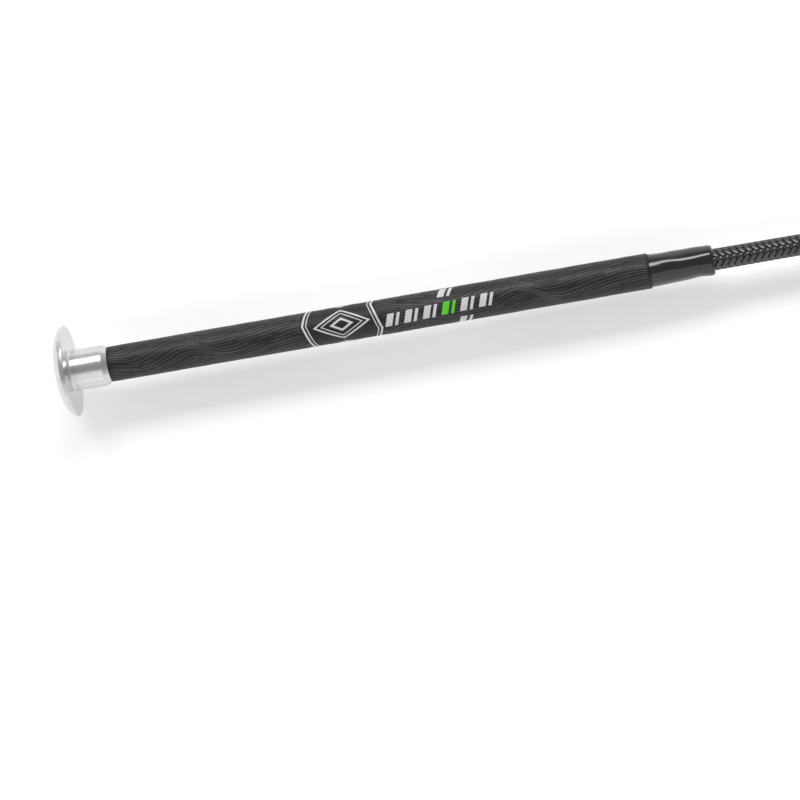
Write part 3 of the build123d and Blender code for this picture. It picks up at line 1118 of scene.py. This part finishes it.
# ---- keeper's tail: plaited, cut off and flared --------------------------------------------------
TAIL_ROUTE = [
    beside(0, 0, axis_height(0)),
    beside(0.0030, -0.0004, axis_height(0.0030)),
    beside(0.0063, -0.0025, 0.0049),
    beside(0.0079, -0.0048, 0.00475),
    beside(0.0087, -0.0064, 0.0033),
]
TAIL_ROOT_RADIUS = 0.0022
TAIL_RADIUS = 0.0017
TAIL_END_RADIUS = 0.0022
TAIL_FLARE = 0.0021
TAIL_NARROWING = (0.002, 0.006)  # where the tail begins and ends to narrow
TAIL_LEAD = 0.0078
TAIL_STRANDS_EACH_WAY = 4
TAIL_STRAND = 0.0006
TAIL_FIBRES = 90
TAIL_FIBRE_RADIUS = 0.00014
TAIL_FIBRE_STEPS = 8
TAIL_FIBRE_SIDES = 6
TAIL_FIBRE_ROOT = 0.0030  # how far inside the tail its loose fibres begin
TAIL_CORE = 0.00095  # radius of the bunch of fibres where it begins
TAIL_OPENING = 0.0011  # how much the bunch opens out at the cut

tail_line = Line(smooth_line(TAIL_ROUTE), Vector((0, 0, 1)))


def tail_radius(station):
    """The tail narrows from the keeper's mouth and flares at its cut end."""
    places = (*TAIL_NARROWING, tail_line.length - 0.001, tail_line.length + TAIL_FLARE)
    return np.interp(station, places, (TAIL_ROOT_RADIUS, TAIL_RADIUS, TAIL_RADIUS, TAIL_END_RADIUS))


def tail_piece():
    """A coarse plait, with its strands' fibres showing at the cut."""
    build = Build()
    last = tail_line.length + 0.4 * TAIL_FLARE
    braid(
        build,
        tail_line,
        0,
        last,
        tail_radius,
        (TAIL_LEAD, TAIL_LEAD),
        TAIL_STRANDS_EACH_WAY,
        TAIL_STRAND,
        per_turn=28,
        fill=0.94,
    )
    turn = np.linspace(0, tau, TAIL_FIBRE_SIDES, endpoint=False)
    around = np.broadcast_to(turn[None, :], (TAIL_FIBRE_STEPS, TAIL_FIBRE_SIDES))
    for _ in range(TAIL_FIBRES):
        bearing = chance.uniform(0, tau)
        reach = chance.random() ** 0.5
        end = tail_line.length + TAIL_FLARE * chance.uniform(0.45, 0.8)
        station = np.linspace(tail_line.length - TAIL_FIBRE_ROOT, end, TAIL_FIBRE_STEPS)
        share = np.linspace(0, 1, TAIL_FIBRE_STEPS)
        radii = reach * (TAIL_CORE + TAIL_OPENING * share**2)
        centres = tail_line.place(station, radii, np.full(TAIL_FIBRE_STEPS, bearing))
        fibre = Line(centres, Vector((0, 0, 1)))
        along = np.broadcast_to(np.linspace(0, fibre.length, TAIL_FIBRE_STEPS)[:, None], around.shape)
        tag = np.full(around.shape, chance.random())
        rings = fibre.place(along, np.full(around.shape, TAIL_FIBRE_RADIUS), around)
        build.shell(rings, np.stack([along, np.sin(around) * TAIL_FIBRE_RADIUS, tag], axis=-1), slot=1)
    return build.piece("tail", [LIGHTER_PAINTED_TIP_NYLON, FIBRE])


tail = tail_piece()
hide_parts("keeper_tail")
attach(tail, "tip")

# ---- floor and light -----------------------------------------------------------------------------
# The floor is flat under the whip and the cameras, and curves up all round, so low views show no edge.
FLOOR_FLAT = 7.0
FLOOR_REACH = 13.0
FLOOR_RIM = 4.0
FLOOR_SIDES = 96
FLOOR_RINGS = 12
FLOOR_GAP = 0.00002


def floor_piece():
    """A flat disc, with a rim round it that rises in rings."""
    turn = np.linspace(0, tau, FLOOR_SIDES, endpoint=False)
    points = []
    faces = [list(range(FLOOR_SIDES))]
    for ring, share in enumerate(np.linspace(0, 1, FLOOR_RINGS)):
        reach = FLOOR_FLAT + (FLOOR_REACH - FLOOR_FLAT) * share
        points += [(reach * cos(angle), reach * sin(angle), FLOOR_RIM * share**2) for angle in turn]
        if ring:
            for side in range(FLOOR_SIDES):
                low, low_next = [(ring - 1) * FLOOR_SIDES + place % FLOOR_SIDES for place in (side, side + 1)]
                faces.append((low, low + FLOOR_SIDES, low_next + FLOOR_SIDES, low_next))
    mesh = bpy.data.meshes.new("floor")
    mesh.from_pydata(points, [], faces)
    mesh.shade_smooth()
    return bpy.data.objects.new("floor", mesh)


floor = floor_piece()
floor.location.z = cad_box[0].z - FLOOR_GAP
FLOOR_PAPER = finish(
    "floor_paper",
    (0.875, 0.875, 0.875),
    (0.89, 0.89, 0.89),
    (0.8, 0.9),
    0.02,
    sockets={"Emission Color": (1, 1, 1, 1), "Emission Strength": 0.3, "Specular IOR Level": 0.1},
)
floor.data.materials.append(FLOOR_PAPER)
bpy.context.collection.objects.link(floor)


def softbox(name, lean_degrees, distance, length, width, power):
    """An area light along the whip, leaning from straight up towards the whip's left."""
    lean = radians(lean_degrees)
    outward = UP * cos(lean) + LEFT * sin(lean)
    data = bpy.data.lights.new(name, "AREA")
    data.shape = "RECTANGLE"
    data.size = length
    data.size_y = width
    data.energy = power
    light = bpy.data.objects.new(name, data)
    light.matrix_world = placed(AXIS, outward.cross(AXIS), outward, GRIP_MIDDLE + outward * distance)
    light.visible_camera = False
    bpy.context.collection.objects.link(light)


softbox("strip_left", 46, 1.5, 1.3, 0.42, 15)
softbox("softbox_right", -54, 1.9, 2.8, 2.3, 15)

world = bpy.data.worlds.new("studio")
world.use_nodes = True
world.node_tree.nodes["Background"].inputs["Color"].default_value = (0.33, 0.33, 0.334, 1)
bpy.context.scene.world = world
bpy.context.scene.view_settings.view_transform = "Standard"
